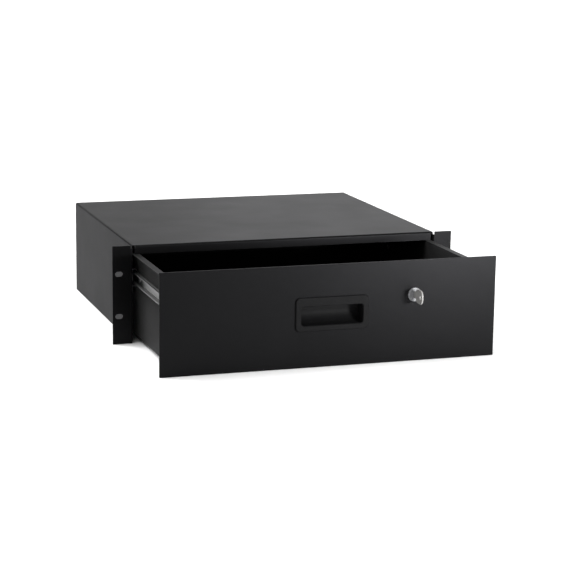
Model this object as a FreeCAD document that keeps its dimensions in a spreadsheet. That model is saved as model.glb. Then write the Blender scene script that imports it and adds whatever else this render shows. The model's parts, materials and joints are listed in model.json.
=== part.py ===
import FreeCAD, Part
import math
import os
import Sketcher
from collections import namedtuple
from types import SimpleNamespace

# Sliding rack drawer, three rack units high, standing half out of its case.
#
# Frame: the origin is the centre of the four rack slots, in the plane where the ears meet the
# rack. +X is the viewer's right, -Y points out of the front and +Z is up. Millimetres.
#
# The drawer and what it carries are drawn where they lie when the drawer is shut, and each
# of their bodies is then placed forward by the distance that the drawer stands open.

SIZES = {
    # Rack front
    "ear_span": 482.6,
    "unit_height": 132.5,
    "slot_edge": 8.75,
    "slot_inset": 37.675,
    "slot_length": 10.3,
    "slot_width": 6.8,
    # Case, folded from one sheet
    "ear_width": 26.3,
    "case_sheet": 1.2,
    "bend_radius": 1.5,
    "bend_root": 5.0,
    "corner_relief": 4.0,
    "lip_drop": 11.5,
    "lip_inset": 4.5,
    "rear_flange": 16.0,
    # Rear panel and its screws
    "rear_sheet": 1.2,
    "rear_inset": 1.0,
    "plate_corner": 2.0,
    "rear_screw_edge": 8.0,
    "rear_screw_drop": 21.25,
    "rear_screw_length": 8.0,
    # Four millimetre fasteners
    "screw_size": 4.0,
    "thread_gap": 0.1,
    "hole_gap": 0.5,
    "head_size": 7.6,
    "head_height": 2.2,
    "head_chamfer": 0.7,
    "screw_tip": 0.9,
    "clinch_size": 7.0,
    "clinch_height": 3.0,
    "nut_flats": 7.0,
    "nut_height": 3.2,
    # Ball-bearing side slides
    "slide_thick": 10.0,
    "rail_height": 24.0,
    "rail_length": 350.0,
    "rail_sheet": 1.0,
    "rail_bend": 0.6,
    "rail_front": 8.0,
    "rail_back_gap": 4.4,
    "rail_drop": 31.0,
    "ball_size": 4.0,
    "ball_gap": 0.1,
    "ball_offset": 5.3,
    "groove_width": 3.0,
    "race_reach": 2.8,
    "stop_length": 3.0,
    "stop_gap": 0.3,
    "stop_width": 8.0,
    "stop_depth": 1.3,
    "bumper_length": 5.0,
    "bumper_depth": 5.0,
    "bumper_height": 10.0,
    "weld_size": 5.0,
    "weld_depth": 0.3,
    "weld_start": 60.0,
    "inner_front": 3.0,
    "rail_screw_start": 30.0,
    "rail_screw_end": 36.7,
    # Ball cages
    "cage_sheet": 0.6,
    "cage_bend": 0.4,
    "cage_gap": 0.4,
    "cage_edge": 0.8,
    "pocket_gap": 0.15,
    "ball_pitch": 31.05,
    "ball_margin": 8.0,
    "window_bridge": 9.05,
    "window_height": 9.0,
    # Drawer tray
    "open_reach": 183.4,
    "lip_clearance": 2.5,
    "tray_clearance": 4.0,
    "inner_overhang": 1.7,
    "tray_sheet": 1.2,
    "tray_flange": 8.0,
    "tray_tab": 14.0,
    "tray_wall_drop": 9.0,
    # Front panel
    "panel_inset": 16.3,
    "panel_sheet": 2.0,
    "panel_gap": 0.3,
    "panel_corner": 1.0,
    "stud_length": 8.0,
    "stud_inset": 18.8,
    "stud_drop": 12.25,
    "stud_lift": 14.25,
    # Flush pull
    "handle_rise": 1.0,
    "bezel_border": 7.5,
    "bezel_brow": 11.5,
    "bezel_thick": 2.5,
    "bezel_corner": 6.0,
    "bezel_round": 1.5,
    "recess_width": 83.0,
    "recess_height": 25.0,
    "recess_corner": 4.0,
    "recess_chamfer": 0.8,
    "cup_depth": 20.0,
    "cup_wall": 1.8,
    "cup_scoop": 16.0,
    "cup_undercut": 5.0,
    "cup_gap": 0.3,
    "snap_height": 12.0,
    "snap_reach": 1.5,
    "snap_length": 6.0,
    # Cam lock
    "lock_offset": 112.0,
    "lock_drop": 31.0,
    "face_rim": 1.25,
    "face_thick": 2.2,
    "face_chamfer": 0.6,
    "barrel_wall": 1.0,
    "flat_cut": 1.0,
    "barrel_length": 15.0,
    "barrel_gap": 0.2,
    "plug_size": 11.8,
    "plug_gap": 0.1,
    "plug_sink": 0.2,
    "tail_size": 8.0,
    "tail_flats": 6.0,
    "tail_gap": 0.05,
    "lock_nut_wall": 2.0,
    "lock_nut_height": 4.0,
    "cam_sheet": 1.6,
    "cam_bend": 1.0,
    "cam_width": 13.0,
    "latch_reach": 8.5,
    "cam_heel": 8.0,
    "cam_crank": 20.0,
    "cam_round": 5.0,
    "latch_gap": 0.8,
    "washer_size": 10.0,
    "washer_thick": 0.8,
    "cam_screw_length": 5.0,
    # Key
    "keyway_gap": 0.25,
    "keyway_height": 7.8,
    "keyway_depth": 13.0,
    "key_thick": 2.0,
    "key_gap": 0.3,
    "neck_length": 3.0,
    "neck_height": 9.0,
    "bow_length": 22.0,
    "bow_height": 18.0,
    "bow_corner": 7.0,
    "bow_hole": 5.0,
    "bow_hole_edge": 6.0,
    "bit_depth": 1.2,
    "bit_width": 1.6,
}

BALLS_PER_ROW = 3
WELDS_PER_RAIL = 3
SCREWS_PER_RAIL = 3
KEY_BITS = 3
LEFT, RIGHT = -1, 1
CLOSE = 0.01
BEYOND = 1.0

doc = FreeCAD.newDocument("RackDrawer")
sheet = doc.addObject("Spreadsheet::Sheet", "Sizes")
for row, (name, value) in enumerate(SIZES.items(), 1):
    sheet.set(f"A{row}", name)
    sheet.set(f"B{row}", str(value))
    sheet.setAlias(f"B{row}", name)
doc.recompute()


# ---- Sizes that carry their sheet formula ----

class Size:
    """A length that keeps both its value and the sheet formula that gives it."""

    def __init__(self, value, formula):
        self.value = value
        self.formula = formula

    def __add__(self, other):
        other = as_size(other)
        return Size(self.value + other.value, f"({self.formula} + {other.formula})")

    def __sub__(self, other):
        other = as_size(other)
        return Size(self.value - other.value, f"({self.formula} - {other.formula})")

    def __mul__(self, factor):
        factor = as_size(factor)
        return Size(self.value * factor.value, f"({self.formula} * {factor.formula})")

    def __truediv__(self, divisor):
        divisor = as_size(divisor)
        return Size(self.value / divisor.value, f"({self.formula} / {divisor.formula})")

    def __neg__(self):
        return Size(-self.value, f"(0 - {self.formula})")

    __radd__ = __add__
    __rmul__ = __mul__


def as_size(number):
    """The number itself if it is a size, or a size that is always that number."""
    if isinstance(number, Size):
        return number
    return Size(float(number), f"({float(number)})")


def root(size):
    return Size(math.sqrt(size.value), f"sqrt({size.formula})")


def bind(target, name, size):
    """Tie a property of an object to its sheet formula."""
    target.setExpression(name, as_size(size).formula)


s = SimpleNamespace(**{name: Size(value, f"Sizes.{name}") for name, value in SIZES.items()})


# ---- Outlines: closed chains of straight edges and arcs ----

Edge = namedtuple("Edge", "start end centre middle")
Circle = namedtuple("Circle", "across up radius")


def chain(points, arcs=None):
    """Edges through the points in turn. arcs gives an edge's centre and a point on the arc."""
    arcs = arcs or {}
    points = [tuple(as_size(part) for part in point) for point in points]
    edges = []
    for index, start in enumerate(points):
        centre, middle = arcs.get(index, (None, None))
        edges.append(Edge(start, points[(index + 1) % len(points)], centre, middle))
    return edges


def heading(start, end):
    """Unit direction from one point to another."""
    across = end[0].value - start[0].value
    up = end[1].value - start[1].value
    length = math.hypot(across, up)
    return across / length, up / length


def rounded(corners):
    """Outline with square corners, each (across, up) or (across, up, radius)."""
    points = []
    arcs = {}
    spots = [(as_size(corner[0]), as_size(corner[1])) for corner in corners]
    for index, corner in enumerate(corners):
        spot = spots[index]
        if len(corner) == 2:
            points.append(spot)
            continue
        radius = as_size(corner[2])
        back = heading(spot, spots[index - 1])
        ahead = heading(spot, spots[(index + 1) % len(spots)])
        inward = (back[0] + ahead[0], back[1] + ahead[1])
        sagitta = radius * (1 - math.sqrt(0.5))
        arcs[len(points)] = ((spot[0] + radius * inward[0], spot[1] + radius * inward[1]),
                             (spot[0] + sagitta * inward[0], spot[1] + sagitta * inward[1]))
        points.append((spot[0] + radius * back[0], spot[1] + radius * back[1]))
        points.append((spot[0] + radius * ahead[0], spot[1] + radius * ahead[1]))
    return chain(points, arcs)


def block(left, right, low, high, radius=None):
    """Rectangle, with all four corners rounded when it has a radius."""
    corner = () if radius is None else (radius,)
    return rounded([(left, low) + corner, (right, low) + corner,
                    (right, high) + corner, (left, high) + corner])


def folded(path, thickness, bend):
    """Section of a folded sheet that lies to the left of a path of square turns."""
    path = [(as_size(across), as_size(up)) for across, up in path]
    near, far = [], []
    for index, (across, up) in enumerate(path):
        turns = []
        if index > 0:
            turns.append(heading(path[index - 1], path[index]))
        if index < len(path) - 1:
            turns.append(heading(path[index], path[index + 1]))
        shift = (-sum(turn[1] for turn in turns), sum(turn[0] for turn in turns))
        other = (across + thickness * shift[0], up + thickness * shift[1])
        if len(turns) == 1:
            near.append((across, up))
            far.append(other)
            continue
        turns_left = turns[0][0] * turns[1][1] - turns[0][1] * turns[1][0] > 0
        near.append((across, up, bend + thickness if turns_left else bend))
        far.append(other + (bend if turns_left else bend + thickness,))
    return rounded(near + far[::-1])


def stadium(across, up, length, width):
    """Slot that runs across, with round ends."""
    radius = width / 2
    run = length / 2 - radius
    points = [(across - run, up - radius), (across + run, up - radius),
              (across + run, up + radius), (across - run, up + radius)]
    return chain(points, {1: ((across + run, up), (across + run + radius, up)),
                          3: ((across - run, up), (across - run - radius, up))})


def double_d(radius, half_flat):
    """Circle about the local origin with a flat on its left and right."""
    rise = root(radius * radius - half_flat * half_flat)
    axis = as_size(0)
    points = [(half_flat, -rise), (half_flat, rise), (-half_flat, rise), (-half_flat, -rise)]
    return chain(points, {1: ((axis, axis), (axis, radius)), 3: ((axis, axis), (axis, -radius))})


def hexagon(across, up, flats):
    """Hexagon with two upright sides, flats apart."""
    reach = flats / 2
    side = reach / math.sqrt(3)
    steps = [(1, 1), (0, 2), (-1, 1), (-1, -1), (0, -2), (1, -1)]
    return chain([(across + reach * step[0], up + side * step[1]) for step in steps])


def moved(edges, across, up):
    """The same chain, shifted."""
    def shift(point):
        return point[0] + across, point[1] + up

    return [Edge(*(point and shift(point) for point in edge)) for edge in edges]


def facing(side, path):
    """A path drawn for the right side, or its mirror image run backwards for the left."""
    if side == RIGHT:
        return path
    return [(-as_size(across), up) for across, up in reversed(path)]


def span(side, near, far):
    """Limits along X of what lies between two distances from the middle, on one side."""
    return (near, far) if side == RIGHT else (-far, -near)


# ---- Sketches and features ----

def vector(point):
    return FreeCAD.Vector(point[0].value, point[1].value, 0)


def curve(edge):
    if edge.centre is None:
        return Part.LineSegment(vector(edge.start), vector(edge.end))
    return Part.Arc(vector(edge.start), vector(edge.middle), vector(edge.end))


def end_at(sketch, index, point):
    """Number of the curve's end that lies at a point: 1 for its start and 2 for its end."""
    at_start = sketch.getPoint(index, 1).distanceToPoint(vector(point)) < CLOSE
    return 1 if at_start else 2


def constrain(sketch, wanted):
    """Add constraints, each with the formula that drives it or None."""
    placed = sketch.addConstraint([constraint for constraint, formula in wanted])
    for index, (constraint, formula) in zip(placed, wanted):
        if formula:
            sketch.setExpression(f"Constraints[{index}]", formula)


def held_point(index, end, point):
    """Constraints that hold one point of a curve at its place in the sketch."""
    return [(Sketcher.Constraint(kind, -1, 1, index, end, part.value), part.formula)
            for kind, part in zip(("DistanceX", "DistanceY"), point)]


def held_centre(index, edge):
    """Constraint that keeps an arc's centre at its distance from the chord."""
    across, up = held_point(index, 3, edge.centre)
    chord = heading(edge.start, edge.end)
    return across if abs(chord[1]) > abs(chord[0]) else up


def draw_circle(sketch, circle):
    centre = (as_size(circle.across), as_size(circle.up))
    radius = as_size(circle.radius)
    index = sketch.addGeometry(Part.Circle(vector(centre), FreeCAD.Vector(0, 0, 1), radius.value), False)
    wanted = held_point(index, 3, centre)
    wanted.append((Sketcher.Constraint("Radius", index, radius.value), radius.formula))
    constrain(sketch, wanted)


def draw_chain(sketch, edges):
    first = sketch.GeometryCount
    sketch.addGeometry([curve(edge) for edge in edges], False)
    wanted = []
    for step, edge in enumerate(edges):
        index = first + step
        following = first + (step + 1) % len(edges)
        ends = (end_at(sketch, index, edge.end), end_at(sketch, following, edge.end))
        wanted.append((Sketcher.Constraint("Coincident", index, ends[0], following, ends[1]), None))
        wanted += held_point(index, end_at(sketch, index, edge.start), edge.start)
        if edge.centre is not None:
            wanted.append(held_centre(index, edge))
    constrain(sketch, wanted)


def sketch_at(body, plane, level, outlines):
    """Sketch of closed outlines, parallel to an origin plane of its body."""
    sketch = body.newObject("Sketcher::SketchObject", f"{body.Name}_profile")
    support = next(item for item in body.Origin.OriginFeatures if item.Role == f"{plane}_Plane")
    sketch.AttachmentSupport = [(support, "")]
    sketch.MapMode = "FlatFace"
    # The normal of the XZ plane points along -Y.
    bind(sketch, "AttachmentOffset.Base.z", -as_size(level) if plane == "XZ" else level)
    for outline in outlines:
        if isinstance(outline, Circle):
            draw_circle(sketch, outline)
        else:
            draw_chain(sketch, outline)
    return sketch


def extrude(kind, body, sketch, length):
    feature = body.newObject(f"PartDesign::{kind}", f"{body.Name}_{kind.lower()}")
    feature.Profile = sketch
    bind(feature, "Length", length)
    sketch.Visibility = False
    return feature


def pad(body, plane, low, high, *outlines):
    """Add the outlines between two levels along the plane's axis."""
    sketch = sketch_at(body, plane, high if plane == "XZ" else low, outlines)
    return extrude("Pad", body, sketch, as_size(high) - low)


def cut(body, plane, low, high, *outlines):
    """Remove the outlines between two levels along the plane's axis."""
    sketch = sketch_at(body, plane, low if plane == "XZ" else high, outlines)
    return extrude("Pocket", body, sketch, as_size(high) - low)


def soften(body, kind, size, wanted):
    """Fillet or chamfer the edges whose box passes the test."""
    doc.recompute()
    base = body.Tip
    names = [f"Edge{index}" for index, edge in enumerate(base.Shape.Edges, 1) if wanted(edge.BoundBox)]
    feature = body.newObject(f"PartDesign::{kind}", f"{body.Name}_{kind.lower()}")
    feature.Base = (base, names)
    bind(feature, "Radius" if kind == "Fillet" else "Size", size)


def part_body(label, across=0, back=0, up=0):
    """Body of one sub-part, placed by sheet formulas."""
    body = doc.addObject("PartDesign::Body", label)
    body.Label = label
    for axis, size in (("x", across), ("y", back), ("z", up)):
        bind(body, f"Placement.Base.{axis}", size)
    return body


def all_on(level):
    """Test for edges that lie in the plane Y = level."""
    def test(box):
        return abs(box.YMin - level.value) < CLOSE and abs(box.YMax - level.value) < CLOSE

    return test


# ---- Places worked out from the sizes ----

top = s.unit_height / 2
bottom = -top
half_ear = s.ear_span / 2
half_case = half_ear - s.ear_width
wall_inner = half_case - s.case_sheet
rail_end = s.rail_front + s.rail_length
flange_front = rail_end + s.rail_back_gap
flange_rear = flange_front + s.case_sheet
rear = flange_rear + s.rear_sheet

panel_back = -(s.case_sheet + s.panel_gap)
panel_front = panel_back - s.panel_sheet
forward = -s.open_reach

tray_half = wall_inner - s.slide_thick
tray_floor = bottom + s.tray_clearance
tray_top = top - s.lip_drop - s.lip_clearance
tray_front = panel_back
tray_wall_back = tray_front + s.tray_sheet
rail_rise = tray_top - s.rail_drop
lock_rise = tray_top - s.lock_drop

screw_radius = s.screw_size / 2
nut_bore = screw_radius + s.thread_gap
screw_hole = (s.screw_size + s.hole_gap) / 2
head_radius = s.head_size / 2

# Across the slide, distances run from the case wall towards the tray.
ball_radius = s.ball_size / 2
groove_radius = ball_radius + s.ball_gap
ball_rise = s.rail_height / 2 - s.rail_sheet - groove_radius
groove_height = root(groove_radius * groove_radius - s.groove_width * s.groove_width / 4)
outer_flat = ball_rise + groove_height
inner_flat = ball_rise - groove_height
outer_edge = s.ball_offset + s.race_reach
inner_edge = s.ball_offset - s.race_reach
inner_rear = rail_end - s.bumper_length - s.stop_gap
inner_length = inner_rear - s.inner_front
tray_rear = inner_rear - s.inner_overhang

# At full travel the cage is held between the front stop and the inner rail's stop.
cage_length = s.ball_pitch * (BALLS_PER_ROW - 1) + s.ball_margin * 2
stop_reach = s.stop_length + s.stop_gap
travel = inner_rear - s.rail_front - stop_reach * 2 - cage_length
cage_front = s.rail_front + stop_reach + travel / 2
cage_web = s.rail_sheet + s.cage_gap
cage_half = ball_rise + s.cage_sheet / 2
cage_reach = s.ball_offset + ball_radius + s.cage_edge

bezel_width = s.recess_width + s.bezel_border * 2
barrel_flats = s.plug_size + s.plug_gap * 2 + s.barrel_wall * 2
barrel_size = barrel_flats + s.flat_cut * 2
face_size = barrel_size + s.face_rim * 2
keyway_width = s.key_thick + s.keyway_gap * 2
cam_length = s.lock_drop + s.lip_clearance + s.latch_reach

rear_screw_spots = [((half_case - s.rear_screw_edge) * side, (top - s.rear_screw_drop) * level)
                    for side in (LEFT, RIGHT) for level in (-1, 1)]
rear_screw_spots.append((as_size(0), top - s.rear_screw_edge))
rail_screw_pitch = (inner_rear - s.rail_screw_start - s.rail_screw_end) / (SCREWS_PER_RAIL - 1)
rail_screw_places = [s.rail_screw_start + rail_screw_pitch * step for step in range(SCREWS_PER_RAIL)]
stud_spots = [((tray_half - s.stud_inset) * step, level) for step in (-1, 0, 1)
              for level in (tray_floor + s.stud_lift, tray_top - s.stud_drop)]


def on_slide(side, distance):
    """Place along X of a distance from the case wall towards the tray."""
    return (wall_inner - distance) * side


def circles(spots, radius):
    return [Circle(across, up, radius) for across, up in spots]


# ---- Case ----

def case_shell():
    """Top, sides, rack ears, front lip and rear flanges, all folded from one sheet."""
    body = part_body("case_shell")
    skin, bend = s.case_sheet, s.bend_radius
    arch = folded([(half_case, bottom), (half_case, top), (-half_case, top), (-half_case, bottom)],
                  skin, bend)
    pad(body, "XZ", bend, flange_rear - bend - skin, arch)
    for side in (LEFT, RIGHT):
        ear = facing(side, [(half_ear, 0), (half_case, 0), (half_case, s.bend_root)])
        pad(body, "XY", bottom, top - s.corner_relief, folded(ear, skin, bend))
        limits = span(side, half_case + bend, half_ear)
        pad(body, "XZ", -skin, 0, block(limits[0], limits[1], bottom, top))
        flange = facing(side, [(half_case, flange_rear - s.bend_root), (half_case, flange_rear),
                               (half_case - s.rear_flange, flange_rear)])
        pad(body, "XY", bottom, top - s.corner_relief, folded(flange, skin, bend))
    lip_half = half_case - s.lip_inset
    lip = [(s.bend_root, top), (-skin, top), (-skin, top - s.lip_drop)]
    pad(body, "YZ", -lip_half, lip_half, folded(lip, skin, bend))
    top_half = half_case - s.rear_flange - bend
    top_flange = [(flange_rear, top - s.rear_flange), (flange_rear, top),
                  (flange_rear - s.bend_root, top)]
    pad(body, "YZ", -top_half, top_half, folded(top_flange, skin, bend))
    slots = [stadium((half_ear - s.slot_edge) * side, (top - s.slot_inset) * level,
                     s.slot_length, s.slot_width)
             for side in (LEFT, RIGHT) for level in (-1, 1)]
    cut(body, "XZ", -skin - BEYOND, BEYOND, *slots)
    cut(body, "XZ", flange_front - BEYOND, flange_rear + BEYOND, *circles(rear_screw_spots, screw_hole))


def rear_panel():
    body = part_body("rear_panel")
    half = half_case - s.rear_inset
    plate = block(-half, half, bottom + s.rear_inset, top - s.rear_inset, s.plate_corner)
    pad(body, "XZ", flange_rear, rear, plate, *circles(rear_screw_spots, screw_hole))


def rear_screws():
    """Pan-head screws that hold the rear panel to the flanges."""
    body = part_body("rear_screws", back=rear)
    pad(body, "XZ", 0, s.head_height, *circles(rear_screw_spots, head_radius))
    soften(body, "Chamfer", s.head_chamfer, all_on(s.head_height))
    pad(body, "XZ", -s.rear_screw_length, 0, *circles(rear_screw_spots, screw_radius))


def rear_clinch_nuts():
    body = part_body("rear_clinch_nuts", back=flange_front)
    pad(body, "XZ", -s.clinch_height, 0, *circles(rear_screw_spots, s.clinch_size / 2),
        *circles(rear_screw_spots, nut_bore))


# ---- Slides ----

def outer_rail(side, label):
    """Cabinet rail, welded to the case wall, with a ball groove in each flange."""
    body = part_body(label, back=s.rail_front, up=rail_rise)
    skin = s.rail_sheet
    flange = outer_flat + skin
    channel = facing(RIGHT, [(outer_edge, -flange), (0, -flange), (0, flange), (outer_edge, flange)])
    path = [(wall_inner - across, up) for across, up in channel]
    balls = [(on_slide(side, s.ball_offset), ball_rise * level) for level in (-1, 1)]
    pad(body, "XZ", 0, s.rail_length, folded(facing(side, path), skin, s.rail_bend))
    pad(body, "XZ", 0, s.rail_length, *circles(balls, groove_radius + skin))
    mouth = on_slide(side, outer_edge + BEYOND)
    web = on_slide(side, skin)
    hollow = rounded([(mouth, -outer_flat), (web, -outer_flat, s.rail_bend),
                      (web, outer_flat, s.rail_bend), (mouth, outer_flat)])
    cut(body, "XZ", 0, s.rail_length, hollow)
    cut(body, "XZ", 0, s.rail_length, *circles(balls, groove_radius))
    pad(body, "XZ", 0, s.stop_length,
        block(web, on_slide(side, skin + s.stop_depth), -s.stop_width / 2, s.stop_width / 2))
    weld_pitch = (s.rail_length - s.weld_start * 2) / (WELDS_PER_RAIL - 1)
    welds = [(s.weld_start + weld_pitch * step, 0) for step in range(WELDS_PER_RAIL)]
    limits = span(side, wall_inner - skin, wall_inner - skin + s.weld_depth)
    cut(body, "YZ", *limits, *circles(welds, s.weld_size / 2))


def inner_rail(side, label):
    """Drawer rail, screwed to the tray, whose flanges run inside the balls."""
    body = part_body(label, back=s.inner_front - s.open_reach, up=rail_rise)
    skin = s.rail_sheet
    channel = [(inner_edge, inner_flat), (s.slide_thick, inner_flat),
               (s.slide_thick, -inner_flat), (inner_edge, -inner_flat)]
    path = [(wall_inner - across, up) for across, up in channel]
    balls = [(on_slide(side, s.ball_offset), ball_rise * level) for level in (-1, 1)]
    pad(body, "XZ", 0, inner_length, folded(facing(side, path), skin, s.rail_bend))
    pad(body, "XZ", 0, inner_length, *circles(balls, groove_radius + skin))
    outside = [block(on_slide(side, inner_edge - BEYOND), on_slide(side, s.slide_thick + BEYOND),
                     inner_flat * level, (ball_rise + groove_radius + skin + BEYOND) * level)
               for level in (-1, 1)]
    cut(body, "XZ", 0, inner_length, *outside)
    cut(body, "XZ", 0, inner_length, *circles(balls, groove_radius))
    tip = s.rail_sheet + s.cage_gap + s.cage_sheet / 2
    pad(body, "XZ", inner_length - s.stop_length, inner_length,
        block(on_slide(side, tip), on_slide(side, s.slide_thick - skin),
              -s.stop_width / 2, s.stop_width / 2))
    holes = [(place - s.inner_front, 0) for place in rail_screw_places]
    limits = span(side, tray_half - BEYOND, tray_half + skin + BEYOND)
    cut(body, "YZ", *limits, *circles(holes, screw_hole))


def rail_bumpers():
    """Rubber stops at the rear of the outer rails, one in each."""
    body = part_body("rail_bumpers", back=rail_end, up=rail_rise)
    stops = [block(on_slide(side, s.rail_sheet), on_slide(side, s.rail_sheet + s.bumper_depth),
                   -s.bumper_height / 2, s.bumper_height / 2) for side in (LEFT, RIGHT)]
    pad(body, "XZ", -s.bumper_length, 0, *stops)


def ball_cage(side, label):
    """Folded strip that keeps the two rows of balls apart."""
    body = part_body(label, back=cage_front - s.open_reach / 2, up=rail_rise)
    strip = [(cage_reach, -cage_half), (cage_web, -cage_half), (cage_web, cage_half),
             (cage_reach, cage_half)]
    path = [(wall_inner - across, up) for across, up in strip]
    pad(body, "XZ", 0, cage_length, folded(facing(side, path), s.cage_sheet, s.cage_bend))
    places = [s.ball_margin + s.ball_pitch * step for step in range(BALLS_PER_ROW)]
    pockets = [Circle(on_slide(side, s.ball_offset), place, ball_radius + s.pocket_gap)
               for place in places]
    cut(body, "XY", -cage_half - BEYOND, cage_half + BEYOND, *pockets)
    windows = [block(place + s.window_bridge / 2, place + s.ball_pitch - s.window_bridge / 2,
                     -s.window_height / 2, s.window_height / 2, s.cage_bend)
               for place in places[:-1]]
    limits = span(side, wall_inner - cage_web - s.cage_sheet - s.cage_gap, wall_inner - cage_web + s.cage_gap)
    cut(body, "YZ", *limits, *windows)


def slide_balls():
    """All the steel balls of both slides."""
    balls = []
    for side in (LEFT, RIGHT):
        for level in (-1, 1):
            for step in range(BALLS_PER_ROW):
                ball = doc.addObject("Part::Sphere", "Ball")
                place = cage_front - s.open_reach / 2 + s.ball_margin + s.ball_pitch * step
                bind(ball, "Radius", ball_radius)
                bind(ball, "Placement.Base.x", on_slide(side, s.ball_offset))
                bind(ball, "Placement.Base.y", place)
                bind(ball, "Placement.Base.z", rail_rise + ball_rise * level)
                balls.append(ball)
    group = doc.addObject("Part::Compound", "slide_balls")
    group.Label = "slide_balls"
    group.Links = balls


def inner_rail_screws():
    """Screws through the inner rails into the tray's sides."""
    body = part_body("inner_rail_screws", back=forward, up=rail_rise)
    spots = [(place, 0) for place in rail_screw_places]
    seat = tray_half + s.rail_sheet
    for side in (LEFT, RIGHT):
        pad(body, "YZ", *span(side, seat, seat + s.head_height), *circles(spots, head_radius))
    head_face = seat + s.head_height

    def on_head(box):
        return min(abs(abs(limit) - head_face.value) for limit in (box.XMin, box.XMax)) < CLOSE \
            and box.XLength < CLOSE

    soften(body, "Chamfer", s.head_chamfer, on_head)
    end = tray_half - s.tray_sheet - s.clinch_height - s.screw_tip
    for side in (LEFT, RIGHT):
        pad(body, "YZ", *span(side, end, seat), *circles(spots, screw_radius))


def tray_clinch_nuts():
    body = part_body("tray_clinch_nuts", back=forward, up=rail_rise)
    spots = [(place, 0) for place in rail_screw_places]
    face = tray_half - s.tray_sheet
    for side in (LEFT, RIGHT):
        pad(body, "YZ", *span(side, face - s.clinch_height, face),
            *circles(spots, s.clinch_size / 2), *circles(spots, nut_bore))


# ---- Drawer ----

def handle_hole():
    """Cut-out that the pull's cup passes through."""
    half = s.recess_width / 2 + s.cup_wall + s.cup_gap
    low = s.handle_rise - s.recess_height / 2 - s.cup_wall - s.cup_gap
    high = s.handle_rise + s.recess_height / 2 + s.cup_undercut + s.cup_wall + s.cup_gap
    return block(-half, half, low, high)


def lock_hole():
    """Cut-out with two flats that stops the lock's body from turning."""
    outline = double_d((barrel_size + s.barrel_gap) / 2, (barrel_flats + s.barrel_gap) / 2)
    return moved(outline, s.lock_offset, lock_rise)


def drawer_tray():
    """Open box: floor and sides folded from one sheet, with welded front and rear walls."""
    body = part_body("drawer_tray", back=forward)
    skin, bend = s.tray_sheet, s.bend_radius
    trough = [(s.tray_flange - tray_half, tray_top), (-tray_half, tray_top), (-tray_half, tray_floor),
              (tray_half, tray_floor), (tray_half, tray_top), (tray_half - s.tray_flange, tray_top)]
    pad(body, "XZ", tray_front, tray_rear, folded(trough, skin, bend))
    inside = tray_half - skin
    front_wall = [(-inside, tray_front + s.tray_tab), (-inside, tray_front),
                  (inside, tray_front), (inside, tray_front + s.tray_tab)]
    rear_wall = [(inside, tray_rear - s.tray_tab), (inside, tray_rear),
                 (-inside, tray_rear), (-inside, tray_rear - s.tray_tab)]
    pad(body, "XY", tray_floor + skin, tray_top - skin, folded(front_wall, skin, bend))
    pad(body, "XY", tray_floor + skin, tray_top - s.tray_wall_drop, folded(rear_wall, skin, bend))
    cut(body, "XZ", tray_front - BEYOND, tray_wall_back + BEYOND, handle_hole())
    cut(body, "XZ", tray_front - BEYOND, tray_wall_back + BEYOND, lock_hole(),
        *circles(stud_spots, screw_hole))
    holes = [(place, rail_rise) for place in rail_screw_places]
    for side in (LEFT, RIGHT):
        limits = span(side, inside - BEYOND, tray_half + BEYOND)
        cut(body, "YZ", *limits, *circles(holes, screw_hole))


def front_panel():
    """Flat plate that covers the case's mouth."""
    body = part_body("front_panel", back=forward)
    half = half_ear - s.panel_inset
    plate = block(-half, half, bottom, top, s.panel_corner)
    pad(body, "XZ", panel_front, panel_back, plate, handle_hole(), lock_hole())


def panel_studs():
    """Threaded studs welded to the back of the front panel."""
    body = part_body("panel_studs", back=panel_back + forward)
    pad(body, "XZ", 0, s.stud_length, *circles(stud_spots, screw_radius))


def panel_nuts():
    """Nuts that pull the front panel against the tray."""
    body = part_body("panel_nuts", back=tray_wall_back + forward)
    nuts = [hexagon(across, up, s.nut_flats) for across, up in stud_spots]
    pad(body, "XZ", 0, s.nut_height, *nuts, *circles(stud_spots, nut_bore))


def pull_handle():
    """Moulded flush pull: a bezel in front of the panel and a scooped cup behind it."""
    body = part_body("pull_handle", back=panel_front + forward, up=s.handle_rise)
    half_recess = s.recess_width / 2
    low, high = -s.recess_height / 2, s.recess_height / 2
    pad(body, "XZ", -s.bezel_thick, 0,
        block(-bezel_width / 2, bezel_width / 2, low - s.bezel_border, high + s.bezel_brow, s.bezel_corner))
    soften(body, "Fillet", s.bezel_round, all_on(-s.bezel_thick))
    half_cup = half_recess + s.cup_wall
    pad(body, "YZ", -half_cup, half_cup, scooped(0, low, high + s.cup_undercut, s.cup_wall))
    cut(body, "YZ", -half_recess, half_recess, scooped(s.cup_wall, low, high + s.cup_undercut, 0))
    cut(body, "XZ", -s.bezel_thick - BEYOND, s.cup_wall + BEYOND,
        block(-half_recess, half_recess, low, high, s.recess_corner))

    def on_mouth(box):
        return all_on(-s.bezel_thick)(box) and max(abs(box.XMin), abs(box.XMax)) < half_recess.value + CLOSE

    soften(body, "Chamfer", s.recess_chamfer, on_mouth)
    seat = s.panel_sheet + s.tray_sheet + s.cup_gap
    for side in (LEFT, RIGHT):
        snap = chain([(half_cup * side, seat), ((half_cup + s.snap_reach) * side, seat),
                      (half_cup * side, seat + s.snap_length)])
        pad(body, "XY", -s.snap_height / 2, s.snap_height / 2, snap)


def scooped(front, low, high, wall):
    """Section of the cup, or of its hollow, whose floor curves up into the back."""
    back = s.cup_depth - s.cup_wall + wall
    radius = s.cup_scoop + wall
    bend = math.sqrt(0.5)
    centre = (back - radius, low + s.cup_scoop)
    points = [(front, low - wall), (centre[0], low - wall), (back, centre[1]),
              (back, high + wall), (front, high + wall)]
    return chain(points, {1: (centre, (centre[0] + radius * bend, centre[1] - radius * bend))})


# ---- Lock and key, drawn about the lock's axis from the panel's front face ----

def at_lock(label):
    return part_body(label, across=s.lock_offset, back=panel_front + forward, up=lock_rise)


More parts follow.
